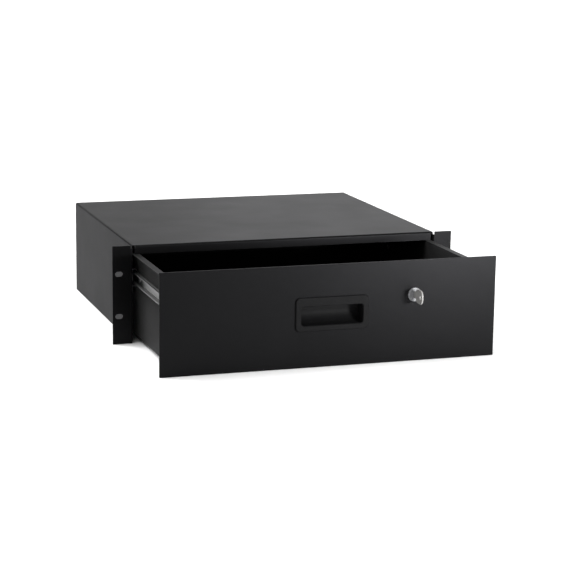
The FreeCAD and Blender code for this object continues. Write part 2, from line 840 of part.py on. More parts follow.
def lock_body():
    """Face ring and flatted barrel that hold the turning plug."""
    body = at_lock("lock_body")
    pad(body, "XZ", -s.face_thick, 0, Circle(0, 0, face_size / 2))
    soften(body, "Chamfer", s.face_chamfer, all_on(-s.face_thick))
    pad(body, "XZ", 0, s.barrel_length, double_d(barrel_size / 2, barrel_flats / 2))
    cut(body, "XZ", -s.face_thick - BEYOND, s.barrel_length + BEYOND,
        Circle(0, 0, s.plug_size / 2 + s.plug_gap))


def lock_nut():
    """Nut that clamps the lock to the panel and the tray's front wall."""
    body = at_lock("lock_nut")
    seat = s.panel_sheet + s.tray_sheet
    flats = barrel_size + s.lock_nut_wall * 2
    pad(body, "XZ", seat, seat + s.lock_nut_height, hexagon(as_size(0), as_size(0), flats),
        Circle(0, 0, barrel_size / 2 + s.thread_gap))


def lock_plug():
    """Turning plug with a keyway in front and a flatted tail behind."""
    body = at_lock("lock_plug")
    shoulder = s.barrel_length + s.plug_gap
    end = shoulder + s.cam_sheet
    face = s.plug_sink - s.face_thick
    pad(body, "XZ", face, shoulder, Circle(0, 0, s.plug_size / 2))
    pad(body, "XZ", shoulder, end, double_d(s.tail_size / 2, s.tail_flats / 2))
    cut(body, "XZ", face - BEYOND, face + s.keyway_depth,
        block(-keyway_width / 2, keyway_width / 2, -s.keyway_height / 2, s.keyway_height / 2))
    cut(body, "XZ", end - s.cam_screw_length, end + BEYOND, Circle(0, 0, nut_bore))


def lock_cam():
    """Cranked lever that swings up behind the case's front lip."""
    body = at_lock("lock_cam")
    root_back = s.barrel_length + s.plug_gap + s.cam_sheet
    tip_back = s.latch_gap - panel_front + s.cam_sheet
    path = [(s.cam_heel, root_back), (-s.cam_crank, root_back), (-s.cam_crank, tip_back),
            (-cam_length, tip_back)]
    # The sheet lies on the front side of the path.
    pad(body, "XY", -s.cam_width / 2, s.cam_width / 2, folded(path, s.cam_sheet, s.cam_bend))

    def on_end(box):
        upright = box.XLength < CLOSE and box.ZLength < CLOSE and box.YLength > CLOSE
        return upright and min(abs(box.XMin + cam_length.value), abs(box.XMin - s.cam_heel.value)) < CLOSE

    soften(body, "Fillet", s.cam_round, on_end)
    cut(body, "XZ", root_back - s.cam_sheet - BEYOND, root_back + BEYOND,
        double_d(s.tail_size / 2 + s.tail_gap, s.tail_flats / 2 + s.tail_gap))


def cam_screw():
    """Screw with a captive washer that holds the cam on the plug's tail."""
    body = at_lock("cam_screw")
    seat = s.barrel_length + s.plug_gap + s.cam_sheet
    head = seat + s.washer_thick
    pad(body, "XZ", seat, head, Circle(0, 0, s.washer_size / 2))
    pad(body, "XZ", head, head + s.head_height, Circle(0, 0, head_radius))
    soften(body, "Chamfer", s.head_chamfer, all_on(head + s.head_height))
    pad(body, "XZ", seat - s.cam_screw_length + s.screw_tip, seat, Circle(0, 0, screw_radius))


def lock_key():
    """Flat key: pierced bow, neck and notched blade, upright in the keyway."""
    body = at_lock("lock_key")
    face = s.plug_sink - s.face_thick
    half = s.key_thick / 2
    neck_back = -s.face_thick - s.key_gap
    neck_front = neck_back - s.neck_length
    bow_front = neck_front - s.bow_length
    half_bow = s.bow_height / 2
    half_neck = s.neck_height / 2
    half_blade = s.keyway_height / 2 - s.key_gap
    blade_end = face + s.keyway_depth - s.key_gap
    pad(body, "YZ", -half, half, block(bow_front, neck_front, -half_bow, half_bow, s.bow_corner),
        Circle(bow_front + s.bow_hole_edge, 0, s.bow_hole / 2))
    pad(body, "YZ", -half, half, block(neck_front - BEYOND, neck_back, -half_neck, half_neck))
    blade = [(neck_back - BEYOND, half_blade), (neck_back - BEYOND, -half_blade)]
    for step in range(KEY_BITS):
        middle = face + s.keyway_depth * (step + 1) / (KEY_BITS + 1)
        blade += [(middle - s.bit_width, -half_blade), (middle, s.bit_depth - half_blade),
                  (middle + s.bit_width, -half_blade)]
    blade += [(blade_end - s.bit_depth, -half_blade), (blade_end, s.bit_depth - half_blade),
              (blade_end, half_blade)]
    pad(body, "YZ", -half, half, chain(blade))


# ---- Build, check and write ----

case_shell()
rear_panel()
rear_screws()
rear_clinch_nuts()
outer_rail(LEFT, "outer_rail_left")
outer_rail(RIGHT, "outer_rail_right")
rail_bumpers()
ball_cage(LEFT, "ball_cage_left")
ball_cage(RIGHT, "ball_cage_right")
slide_balls()
inner_rail(LEFT, "inner_rail_left")
inner_rail(RIGHT, "inner_rail_right")
inner_rail_screws()
tray_clinch_nuts()
drawer_tray()
front_panel()
panel_studs()
panel_nuts()
pull_handle()
lock_body()
lock_nut()
lock_plug()
lock_cam()
cam_screw()
lock_key()
doc.recompute()

for item in doc.Objects:
    if "Invalid" in item.State or "Error" in item.State:
        raise RuntimeError(f"{item.Label} failed: {item.State}")
    if item.TypeId == "PartDesign::Pocket" and item.Shape.Volume >= item.BaseFeature.Shape.Volume:
        raise RuntimeError(f"{item.Label} removes nothing")

os.makedirs("parts", exist_ok=True)
sub_parts = [item for item in doc.Objects if item.TypeId in ("PartDesign::Body", "Part::Compound")]
for item in sub_parts:
    if item.Shape.isNull() or not item.Shape.isValid():
        raise RuntimeError(f"{item.Label} has no valid shape")
for item in sub_parts:
    item.Shape.exportStep(f"parts/{item.Label}.step")
    print(item.Label, len(item.Shape.Solids), "solids")
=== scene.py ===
import json
import math

import bmesh
import bpy
from mathutils import Matrix, Vector


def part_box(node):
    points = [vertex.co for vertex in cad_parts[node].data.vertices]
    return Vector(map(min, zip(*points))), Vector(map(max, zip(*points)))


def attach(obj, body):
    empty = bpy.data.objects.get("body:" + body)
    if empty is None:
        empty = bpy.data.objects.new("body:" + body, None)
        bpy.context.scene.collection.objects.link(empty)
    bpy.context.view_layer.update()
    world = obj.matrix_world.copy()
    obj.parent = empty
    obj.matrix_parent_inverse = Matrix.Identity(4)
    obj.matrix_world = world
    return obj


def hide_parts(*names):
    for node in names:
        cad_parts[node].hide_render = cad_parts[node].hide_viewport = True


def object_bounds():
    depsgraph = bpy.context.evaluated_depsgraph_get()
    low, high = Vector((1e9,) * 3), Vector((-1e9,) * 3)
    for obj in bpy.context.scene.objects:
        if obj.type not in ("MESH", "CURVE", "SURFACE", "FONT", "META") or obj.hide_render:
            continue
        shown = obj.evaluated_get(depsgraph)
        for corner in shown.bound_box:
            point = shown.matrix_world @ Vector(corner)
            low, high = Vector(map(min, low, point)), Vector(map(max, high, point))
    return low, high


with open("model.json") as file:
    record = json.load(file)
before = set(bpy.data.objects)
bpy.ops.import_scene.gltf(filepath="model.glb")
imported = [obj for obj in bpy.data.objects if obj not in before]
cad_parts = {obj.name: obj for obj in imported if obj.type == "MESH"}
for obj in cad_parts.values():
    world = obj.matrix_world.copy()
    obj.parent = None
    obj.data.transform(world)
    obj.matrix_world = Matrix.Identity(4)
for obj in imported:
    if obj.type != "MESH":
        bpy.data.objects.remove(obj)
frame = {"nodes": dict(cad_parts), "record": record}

# Sliding rack drawer, standing half out of its case. Metres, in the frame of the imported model:
# +X is the viewer's right, -Y points out of the front and +Z is up.

MM = 0.001
TURN = 2 * math.pi
JOINED = 0.002 * MM  # corners nearer than this are one
CAD_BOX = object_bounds()
NODES = frame["nodes"]
X, Y, Z = Vector((1, 0, 0)), Vector((0, 1, 0)), Vector((0, 0, 1))


def placed(name, data):
    """New object in the scene."""
    holder = bpy.data.objects.new(name, data)
    bpy.context.scene.collection.objects.link(holder)
    return holder


def meshed(shape, name):
    """Mesh of a bmesh, which is freed."""
    mesh = bpy.data.meshes.new(name)
    shape.to_mesh(mesh)
    shape.free()
    return mesh


def band(shape, low, high):
    """Faces between two closed rows of corners."""
    for step in range(len(low)):
        after = (step + 1) % len(low)
        shape.faces.new((low[step], low[after], high[after], high[step]))


# ---- Node graphs ----

class Graph:
    """Material whose nodes are added one call at a time. Inputs are values or other nodes' outputs."""

    def __init__(self, name):
        self.material = bpy.data.materials.new(name)
        self.material.use_nodes = True
        self.tree = self.material.node_tree
        self.tree.nodes.clear()
        self.shader = self.add("BsdfPrincipled")
        output = self.add("OutputMaterial")
        self.tree.links.new(self.shader.outputs[0], output.inputs["Surface"])
        self.place = self.add("TexCoord").outputs["Object"]

    def put(self, socket, value):
        if isinstance(value, bpy.types.NodeSocket):
            self.tree.links.new(value, socket)
        elif hasattr(socket.default_value, "__len__") and not hasattr(value, "__len__"):
            socket.default_value = (value, value, value, 1)[:len(socket.default_value)]
        else:
            socket.default_value = value

    def add(self, kind, inputs=None, **settings):
        node = self.tree.nodes.new(f"ShaderNode{kind}")
        for name, value in settings.items():
            setattr(node, name, value)
        for name, value in (inputs or {}).items():
            self.put(node.inputs[name], value)
        return node

    def finish(self, **inputs):
        for name, value in inputs.items():
            self.put(self.shader.inputs[name.replace("_", " ")], value)

    def stretched(self, across, along, up):
        """The object's own coordinates, scaled per metre along each axis."""
        mapping = self.add("Mapping", {"Vector": self.place, "Scale": (across, along, up)})
        return mapping.outputs[0]

    def noise(self, scale, detail=3.0, roughness=0.5, place=None):
        node = self.add("TexNoise", {"Vector": place or self.place, "Scale": scale, "Detail": detail,
                                     "Roughness": roughness})
        return node.outputs[0]

    def ramp(self, value, low, high, start=0.0, end=1.0):
        """The value, stretched from low..high to start..end and held there beyond."""
        node = self.add("MapRange", {"Value": value, "From Min": low, "From Max": high,
                                     "To Min": start, "To Max": end})
        return node.outputs[0]

    def math(self, operation, first, second=0.0):
        node = self.add("Math", {0: first, 1: second}, operation=operation)
        return node.outputs[0]

    def blend(self, factor, first, second):
        """Colours given as sockets or triples, mixed by the factor."""
        node = self.add("Mix", data_type="RGBA")
        self.put(node.inputs["Factor"], factor)
        for index, colour in ((6, first), (7, second)):
            if not isinstance(colour, bpy.types.NodeSocket):
                colour = tuple(colour) + (1,)
            self.put(node.inputs[index], colour)
        return node.outputs[2]

    def edges(self, radius):
        """About 1 on sharp outer and inner edges and 0 on flat faces."""
        soft = self.add("Bevel", {"Radius": radius}, samples=4).outputs[0]
        true = self.add("NewGeometry").outputs["Normal"]
        likeness = self.add("VectorMath", {0: soft, 1: true}, operation="DOT_PRODUCT").outputs["Value"]
        return self.ramp(likeness, 1.0, 0.85)

    def bump(self, height, distance, strength=1.0, normal=None):
        node = self.add("Bump", {"Height": height, "Distance": distance, "Strength": strength})
        if normal is not None:
            self.put(node.inputs["Normal"], normal)
        return node.outputs[0]


def powder_coat():
    """Black powder coat: orange peel, a fine sparkle of grain, and slightly rubbed edges."""
    g = Graph("powder_coat")
    cloud = g.noise(9.0, 4.0)
    grain = g.noise(2600.0, 2.0)
    speck = g.ramp(grain, 0.35, 0.75)
    base = g.blend(cloud, (0.0050, 0.0050, 0.0053), (0.0068, 0.0068, 0.0072))
    base = g.blend(g.math("MULTIPLY", speck, 0.35), base, (0.0098, 0.0098, 0.0102))
    rubbed = g.math("MULTIPLY", g.edges(0.5 * MM), g.ramp(g.noise(120.0, 5.0), 0.42, 0.68))
    base = g.blend(g.math("MULTIPLY", rubbed, 0.7), base, (0.045, 0.045, 0.048))
    rough = g.ramp(g.noise(14.0, 5.0), 0.3, 0.7, 0.36, 0.40)
    peel = g.bump(g.noise(850.0, 1.0), 0.03 * MM, 0.5)
    g.finish(Base_Color=base, Roughness=rough, Metallic=1.0, Specular_Tint=(0.37, 0.37, 0.375, 1.0),
             Sheen_Weight=0.07, Sheen_Roughness=0.5, Normal=g.bump(grain, 0.008 * MM, 0.4, peel))
    return g.material


def plated(name, dark, pale, smooth, rough, tint=(1.0, 1.0, 1.0), streak=(260.0, 6.0, 260.0), metal=1.0):
    """Zinc or nickel plate, with rolling streaks, cloudy patches and dulled edges."""
    g = Graph(name)
    lines = g.noise(1.0, 6.0, 0.65, g.stretched(*streak))
    patches = g.noise(45.0, 5.0)
    tone = g.math("ADD", g.math("MULTIPLY", lines, 0.6), g.math("MULTIPLY", patches, 0.4))
    tone = g.ramp(tone, 0.35, 0.65)
    base = g.blend(tone, [dark * part for part in tint], [pale * part for part in tint])
    dull = g.math("MULTIPLY", g.edges(0.25 * MM), 0.35)
    base = g.blend(dull, base, [dark * 0.7 * part for part in tint])
    g.finish(Base_Color=base, Metallic=metal, Roughness=g.ramp(tone, 0.0, 1.0, rough, smooth),
             Normal=g.bump(lines, 0.006 * MM, 0.6))
    return g.material


def chrome():
    """Bright plate with a faint haze and hair-fine scratches."""
    g = Graph("chrome")
    haze = g.noise(400.0, 4.0)
    scratch = g.ramp(g.noise(1.0, 2.0, 0.5, g.stretched(5000.0, 300.0, 260.0)), 0.62, 0.72)
    base = g.blend(haze, (0.15, 0.152, 0.157), (0.21, 0.213, 0.22))
    base = g.blend(g.math("MULTIPLY", scratch, 0.3), base, (0.11, 0.11, 0.115))
    g.finish(Base_Color=base, Metallic=0.8, Roughness=g.ramp(haze, 0.3, 0.7, 0.58, 0.68),
             Normal=g.bump(scratch, -0.004 * MM))
    return g.material


def moulded_plastic():
    """Black plastic with a fine spark-eroded grain."""
    g = Graph("handle_plastic")
    cell = g.add("TexVoronoi", {"Vector": g.place, "Scale": 1900.0}).outputs["Distance"]
    cloud = g.noise(60.0, 3.0)
    base = g.blend(cloud, (0.0040, 0.0040, 0.0042), (0.0065, 0.0065, 0.0068))
    shine = g.math("MULTIPLY", g.edges(0.6 * MM), g.ramp(g.noise(300.0, 3.0), 0.4, 0.7))
    base = g.blend(g.math("MULTIPLY", shine, 0.6), base, (0.022, 0.022, 0.023))
    g.finish(Base_Color=base, Roughness=g.ramp(cell, 0.0, 0.8, 0.46, 0.56), Specular_IOR_Level=0.045,
             Normal=g.bump(cell, 0.02 * MM, 0.7))
    return g.material


def rubber():
    """Matt black rubber with a dusty bloom."""
    g = Graph("rubber")
    bloom = g.ramp(g.noise(500.0, 5.0), 0.45, 0.75)
    base = g.blend(bloom, (0.012, 0.012, 0.012), (0.035, 0.034, 0.033))
    g.finish(Base_Color=base, Roughness=g.ramp(bloom, 0.0, 1.0, 0.72, 0.88), Specular_IOR_Level=0.2,
             Normal=g.bump(g.noise(1800.0, 2.0), 0.02 * MM))
    return g.material


def polished_steel():
    """Hardened balls, bright under a film of grease."""
    g = Graph("ball_steel")
    film = g.ramp(g.noise(700.0, 4.0), 0.4, 0.65)
    base = g.blend(film, (0.58, 0.59, 0.60), (0.40, 0.39, 0.35))
    g.finish(Base_Color=base, Metallic=1.0, Roughness=g.ramp(film, 0.0, 1.0, 0.06, 0.2),
             Normal=g.bump(film, 0.004 * MM))
    return g.material


def black_zinc():
    """Black-passivated screws, worn bright on their edges."""
    g = Graph("black_screw")
    patch = g.noise(600.0, 4.0)
    base = g.blend(patch, (0.020, 0.020, 0.022), (0.045, 0.044, 0.043))
    worn = g.math("MULTIPLY", g.edges(0.3 * MM), g.ramp(g.noise(900.0, 3.0), 0.4, 0.6))
    base = g.blend(g.math("MULTIPLY", worn, 0.7), base, (0.25, 0.25, 0.25))
    g.finish(Base_Color=base, Metallic=0.8, Roughness=g.ramp(patch, 0.3, 0.7, 0.32, 0.45),
             Normal=g.bump(patch, 0.006 * MM))
    return g.material


MATERIALS = {
    "powder_coat": powder_coat(),
    "black_screw": black_zinc(),
    "zinc": plated("zinc", 0.085, 0.13, 0.40, 0.54),
    "cage_steel": plated("cage_steel", 0.11, 0.17, 0.34, 0.48, (1.0, 0.98, 0.94)),
    "ball_steel": polished_steel(),
    "rubber": rubber(),
    "handle_plastic": moulded_plastic(),
    "chrome": chrome(),
    "lock_steel": plated("lock_steel", 0.38, 0.52, 0.28, 0.40),
    "key_nickel": plated("key_nickel", 0.20, 0.30, 0.60, 0.70, (1.0, 0.98, 0.95), (90.0, 900.0, 120.0), 0.35),
}


# ---- Carried-over nodes ----

def dress(node, slot, edge):
    """Give a CAD node its material, smooth its round faces and soften its corners."""
    piece = NODES[node]
    piece.data.materials.clear()
    piece.data.materials.append(MATERIALS[slot])
    piece.data.polygons.foreach_set("use_smooth", [True] * len(piece.data.polygons))
    soften(piece, edge)


def soften(piece, edge):
    """Join split corners, clear flat faces of their seams and round the edges."""
    weld = piece.modifiers.new("weld", "WELD")
    weld.merge_threshold = JOINED
    flats = piece.modifiers.new("flats", "DECIMATE")
    flats.decimate_type = "DISSOLVE"
    flats.angle_limit = math.radians(0.5)
    if edge:
        bevel = piece.modifiers.new("bevel", "BEVEL")
        bevel.width = edge
        bevel.segments = 2
        bevel.limit_method = "ANGLE"
        bevel.angle_limit = math.radians(40)
        bevel.harden_normals = True
        bevel.use_clamp_overlap = True
        bevel.miter_outer = "MITER_ARC"
    normals = piece.modifiers.new("normals", "WEIGHTED_NORMAL")
    normals.keep_sharp = True


SLOT_OF = {part["node"]: part["material_slot"] for part in frame["record"]["subparts"]}
EDGE = {
    "case_shell": 0.25 * MM, "rear_panel": 0.25 * MM, "drawer_tray": 0.25 * MM, "front_panel": 0.3 * MM,
    "outer_rail_left": 0.12 * MM, "outer_rail_right": 0.12 * MM,
    "inner_rail_left": 0.12 * MM, "inner_rail_right": 0.12 * MM,
    "ball_cage_left": 0.08 * MM, "ball_cage_right": 0.08 * MM,
    "rail_bumpers": 0.6 * MM, "pull_handle": 0.25 * MM, "lock_plug": 0.12 * MM, "lock_cam": 0.15 * MM,
}
for node in NODES:
    dress(node, SLOT_OF[node], EDGE.get(node, 0.0))


# ---- Turned and threaded fasteners ----
#
# Each is built about its own axis: its seat is at level 0 and its head or far end lies along +Z.

STEPS = 48
ANGLES = [TURN * step / STEPS for step in range(STEPS)]


def circle(radius, level):
    return [(radius * math.cos(angle), radius * math.sin(angle), level) for angle in ANGLES]


def arc_rings(radius, level, corner, start, end, steps=6):
    """Circles that round a turned edge, about a point at the given radius and level."""
    rings = []
    for step in range(steps + 1):
        angle = math.radians(start + (end - start) * step / steps)
        rings.append(circle(radius + corner * math.cos(angle), level + corner * math.sin(angle)))
    return rings


def hex_reach(flats, angle):
    sixth = TURN / 6
    return flats / 2 / math.cos((angle + sixth / 2) % sixth - sixth / 2)


def hexagon(flats, level, limit, slope):
    """Six-sided ring whose corners fall away beyond the limit, as on a chamfered nut."""
    ring = []
    for angle in ANGLES:
        reach = hex_reach(flats, angle)
        ring.append((reach * math.cos(angle), reach * math.sin(angle), level - slope * (reach - limit)))
    return ring


def thread(radius, depth, low, high, pitch, flats=None):
    """Rings of a screw thread, which fades in and out at its two ends. Flats cut its sides away."""
    rows_per_turn = 6
    count = max(4, round(abs(high - low) / pitch * rows_per_turn))
    rings = []
    for row in range(count + 1):
        level = low + (high - low) * row / count
        fade = min(1.0, row * 3 / count * 4, (count - row) * 3 / count * 4)
        ring = []
        for angle in ANGLES:
            phase = (level / pitch - angle / TURN) % 1.0
            reach = radius - depth * fade * abs(2 * phase - 1)
            if flats:
                reach = min(reach, flats / 2 / max(abs(math.cos(angle)), 1e-6))
            ring.append((reach * math.cos(angle), reach * math.sin(angle), level))
        rings.append(ring)
    return rings


def knurled(radius, depth, level):
    """Ring whose every second corner is sunk."""
    reaches = [radius - depth * (step % 2) for step in range(STEPS)]
    return [(reach * math.cos(angle), reach * math.sin(angle), level) for reach, angle in zip(reaches, ANGLES)]


def lathe(rings, closed=False):
    """Mesh over the rings. It is capped at both ends, or joined end to end."""
    shape = bmesh.new()
    rows = [[shape.verts.new(point) for point in ring] for ring in rings]
    pairs = list(zip(rows, rows[1:]))
    if closed:
        pairs.append((rows[-1], rows[0]))
    else:
        shape.faces.new(rows[0])
        shape.faces.new(rows[-1][::-1])
    for low, high in pairs:
        band(shape, low, high)
    bmesh.ops.recalc_face_normals(shape, faces=shape.faces)
    return meshed(shape, "turned")


def cross_cutter(width, across, depth):
    """Two crossed wedges, wide at level 0 and narrow at their foot."""
    shape = bmesh.new()
    for turn in (0, TURN / 4):
        spin = Matrix.Rotation(turn, 3, "Z")
        rows = []
        foot, mouth = (across * 0.25, width * 0.3, -depth), (across / 2, width / 2, depth * 0.3)
        for half_across, half_width, level in (foot, mouth):
            corners = [(-half_across, -half_width), (half_across, -half_width),
                       (half_across, half_width), (-half_across, half_width)]
            rows.append([shape.verts.new(spin @ Vector((*corner, level))) for corner in corners])
        shape.faces.new(rows[0][::-1])
        shape.faces.new(rows[1])
        band(shape, *rows)
    return meshed(shape, "cutter")


def carved(mesh, cutter, level):
    """The mesh with the cutter taken out of it at a level."""
    body, tool = placed("body", mesh), placed("tool", cutter)
    tool.location.z = level
    cut = body.modifiers.new("cut", "BOOLEAN")
    cut.operation = "DIFFERENCE"
    cut.solver = "EXACT"
    cut.use_self = True
    cut.object = tool
    return settled(body, tool)


def settled(body, *tools):
    """Mesh of an object with its modifiers applied. The object and its tools are removed."""
    bpy.context.view_layer.update()
    mesh = bpy.data.meshes.new_from_object(body.evaluated_get(bpy.context.evaluated_depsgraph_get()))
    for holder in (body, *tools):
        bpy.data.objects.remove(holder)
    return mesh


def screw(head, height, shank, length, pitch):
    """Pan-head screw with a cross recess. The shank runs down from level 0."""
    corner = height * 0.55
    rings = [circle(shank * 0.6, -length), circle(shank - 0.25 * MM, -length + 0.4 * MM)]
    rings += thread(shank, 0.28 * MM, -length + 0.5 * MM, -0.4 * MM, pitch)
    rings += [circle(shank, -0.05 * MM), circle(shank, 0), circle(head - 0.1 * MM, 0), circle(head, 0.1 * MM)]
    rings += arc_rings(head - corner, height - corner, corner, 0, 60)
    rings += [circle(head * 0.45, height - 0.02 * MM), circle(head * 0.2, height)]
    return carved(lathe(rings), cross_cutter(head * 0.3, head * 1.1, height * 0.75), height)


def nut(flats, bore, height, pitch):
    """Hexagon nut with both ends chamfered and a threaded bore."""
    slope = math.tan(math.radians(30))
    limit = flats / 2 * 0.97
    lip = 0.35 * MM
    rings = [circle(bore + lip, 0)]
    rings += thread(bore + 0.02 * MM, -0.25 * MM, lip, height - lip, pitch)
    rings += [circle(bore + lip, height), circle(limit, height), hexagon(flats, height, limit, slope),
              hexagon(flats, 0, limit, -slope), circle(limit, 0)]
    return lathe(rings, closed=True)


def clinch_nut(radius, bore, height, pitch):
    """Round press-in nut, knurled where it meets the sheet at level 0."""
    lip, skirt = 0.3 * MM, 0.7 * MM
    rings = [circle(bore + lip, 0)]
    rings += thread(bore + 0.02 * MM, -0.25 * MM, lip, height - lip, pitch)
    chamfer, inset, teeth = 0.35 * MM, 0.1 * MM, 0.18 * MM
    rings += [circle(bore + lip, height), circle(radius - chamfer, height), circle(radius - inset, height - chamfer),
              circle(radius - inset, skirt + inset), knurled(radius, teeth, skirt), knurled(radius, teeth, 0)]
    return lathe(rings, closed=True)


def stud(radius, length, pitch):
    """Threaded stud with a tapered tip."""
    rings = [circle(radius, 0), circle(radius, 0.3 * MM)]
    rings += thread(radius, 0.28 * MM, 0.4 * MM, length - 0.5 * MM, pitch)
    rings += [circle(radius - 0.1 * MM, length - 0.45 * MM), circle(radius * 0.7, length)]
    return lathe(rings)


def solids(node):
    """Lowest and highest corner of each separate solid of a CAD node, from left to right."""
    shape = bmesh.new()
    shape.from_mesh(NODES[node].data)
    bmesh.ops.remove_doubles(shape, verts=shape.verts, dist=JOINED)
    left = set(shape.verts)
    boxes = []
    while left:
        group, edge = [], [left.pop()]
        while edge:
            spot = edge.pop()
            group.append(spot.co)
            for line in spot.link_edges:
                other = line.other_vert(spot)
                if other in left:
                    left.discard(other)
                    edge.append(other)
        boxes.append((Vector(min(co[axis] for co in group) for axis in range(3)),
                      Vector(max(co[axis] for co in group) for axis in range(3))))
    shape.free()
    return sorted(boxes, key=lambda box: tuple(round(part, 5) for part in box[0]))


def standing(place, direction):
    """Placing of a fastener whose own +Z points along a direction."""
    side = X if abs(direction.dot(X)) < 0.5 else Y
    return Matrix.Translation(place) @ Matrix((side, direction.cross(side), direction)).transposed().to_4x4()


def piece(name, mesh, places, slot, body, *nodes):
    """One object made of a mesh repeated at each place, in the stead of CAD nodes."""
    shape = bmesh.new()
    for place in places:
        first = len(shape.verts)
        shape.from_mesh(mesh)
        shape.verts.ensure_lookup_table()
        bmesh.ops.transform(shape, matrix=place, verts=shape.verts[first:])
    for face in shape.faces:
        face.smooth = True
        face.material_index = 0
    whole = meshed(shape, name)
    whole.set_sharp_from_angle(angle=math.radians(35))
    whole.materials.clear()
    whole.materials.append(MATERIALS[slot])
    holder = placed(name, whole)
    if nodes:
        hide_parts(*nodes)
    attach(holder, body)
    return holder


def centre(box):
    return (box[0] + box[1]) / 2


def fasteners():
    pitch = 0.7 * MM
    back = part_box("rear_panel")[1].y
    heads = solids("rear_screws")
    radius = (heads[0][1].x - heads[0][0].x) / 2
    shank = 2.0 * MM
    places = [standing(Vector((centre(box).x, back, centre(box).z)), Y) for box in heads]
    piece("rear_screw_set", screw(radius, heads[0][1].y - back, shank, back - heads[0][0].y, pitch), places,
          "black_screw", "case", "rear_screws")

    seats = solids("rear_clinch_nuts")
    places = [standing(Vector((centre(box).x, box[1].y, centre(box).z)), -Y) for box in seats]
    radius, height = (seats[0][1].x - seats[0][0].x) / 2, seats[0][1].y - seats[0][0].y
    bore = shank + 0.1 * MM
    piece("rear_nut_set", clinch_nut(radius, bore, height, pitch), places, "zinc", "case", "rear_clinch_nuts")

    seats = solids("tray_clinch_nuts")
    places = []
    for box in seats:
        outward = math.copysign(1, centre(box).x)
        face = max(abs(box[0].x), abs(box[1].x)) * outward
        places.append(standing(Vector((face, centre(box).y, centre(box).z)), -X * outward))
    piece("tray_nut_set", clinch_nut(radius, bore, height, pitch), places, "zinc", "drawer", "tray_clinch_nuts")

    heads = solids("inner_rail_screws")
    rail_sheet = 1.0 * MM
    rail_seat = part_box("inner_rail_right")[0].x + rail_sheet
    height = heads[-1][1].x - rail_seat
    length = rail_seat - heads[-1][0].x
    radius = (heads[0][1].z - heads[0][0].z) / 2
    places = []
    for box in heads:
        outward = math.copysign(1, centre(box).x)
        places.append(standing(Vector((rail_seat * outward, centre(box).y, centre(box).z)), X * outward))
    piece("rail_screw_set", screw(radius, height, shank, length, pitch), places, "zinc", "drawer", "inner_rail_screws")

    posts = solids("panel_studs")
    length = posts[0][1].y - posts[0][0].y
    places = [standing(Vector((centre(box).x, box[0].y, centre(box).z)), Y) for box in posts]
    piece("panel_stud_set", stud(shank, length, pitch), places, "zinc", "drawer", "panel_studs")

    nuts = solids("panel_nuts")
    flats, height = nuts[0][1].x - nuts[0][0].x, nuts[0][1].y - nuts[0][0].y
    places = [standing(Vector((centre(box).x, box[0].y, centre(box).z)), Y) for box in nuts]
    piece("panel_nut_set", nut(flats, bore, height, pitch), places, "zinc", "drawer", "panel_nuts")


# ---- Lock ----

LOCK = centre(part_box("lock_nut"))


def lock():
    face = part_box("lock_body")
    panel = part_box("front_panel")[0].y
    axis = Vector((LOCK.x, panel, LOCK.z))
    nut_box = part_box("lock_nut")
    bore, barrel, flats, pitch = 6.0 * MM, 8.0 * MM, 14.0 * MM, 1.0 * MM
    thick = panel - face[0].y
    rim = (face[1].x - face[0].x) / 2
    length = face[1].y - panel
    # Seen from the front: +Z of the turned shape points out of the panel.
    rings = [circle(bore, -length), circle(bore, thick - 0.35 * MM)]
    rings += arc_rings(bore + 0.3 * MM, thick - 0.35 * MM, 0.3 * MM, 180, 90, 4)
    rings += [circle(bore + 1.3 * MM, thick)]
    rings += arc_rings(rim - 1.1 * MM, thick - 1.1 * MM, 1.1 * MM, 75, 0, 8)
    rings += [circle(rim, 0.15 * MM), circle(rim - 0.15 * MM, 0), circle(barrel - 0.1 * MM, 0)]
    threads = thread(barrel, 0.35 * MM, -0.3 * MM, -length + 0.4 * MM, pitch, flats)
    rings += threads + [circle(bore + 0.6 * MM, -length)]
    piece("lock_barrel", lathe(rings, closed=True), [standing(axis, -Y)], "chrome", "drawer", "lock_body")

    ring_nut = nut(nut_box[1].x - nut_box[0].x, barrel, nut_box[1].y - nut_box[0].y, pitch)
    piece("lock_ring_nut", ring_nut, [standing(Vector((LOCK.x, nut_box[0].y, LOCK.z)), Y)],
          "lock_steel", "drawer", "lock_nut")

    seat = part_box("lock_cam")[1].y
    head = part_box("cam_screw")
    washer, washer_thick = (head[1].x - head[0].x) / 2, 0.8 * MM
    radius, height = 3.8 * MM, head[1].y - seat - washer_thick
    turned = screw(radius, height, 2.0 * MM, seat + washer_thick - head[0].y, 0.7 * MM)
    hole, inset = 2.3 * MM, 0.1 * MM
    rings = [circle(hole, 0), circle(washer - inset, 0), circle(washer, inset),
             circle(washer, washer_thick - inset), circle(washer - inset, washer_thick), circle(hole, washer_thick)]
    shape = bmesh.new()
    shape.from_mesh(turned)
    bmesh.ops.translate(shape, verts=shape.verts, vec=(0, 0, washer_thick))
    shape.from_mesh(lathe(rings, closed=True))
    piece("cam_screw_set", meshed(shape, "cam_screw_set"), [standing(Vector((LOCK.x, seat, LOCK.z)), Y)],
          "lock_steel", "plug", "cam_screw")


# ---- Key ----

def round_corner(centre_at, radius, start, end, steps=8):
    """Points of an arc in a plane, by degrees."""
    points = []
    for step in range(steps + 1):
        angle = math.radians(start + (end - start) * step / steps)
        points.append((centre_at[0] + radius * math.cos(angle), centre_at[1] + radius * math.sin(angle)))
    return points


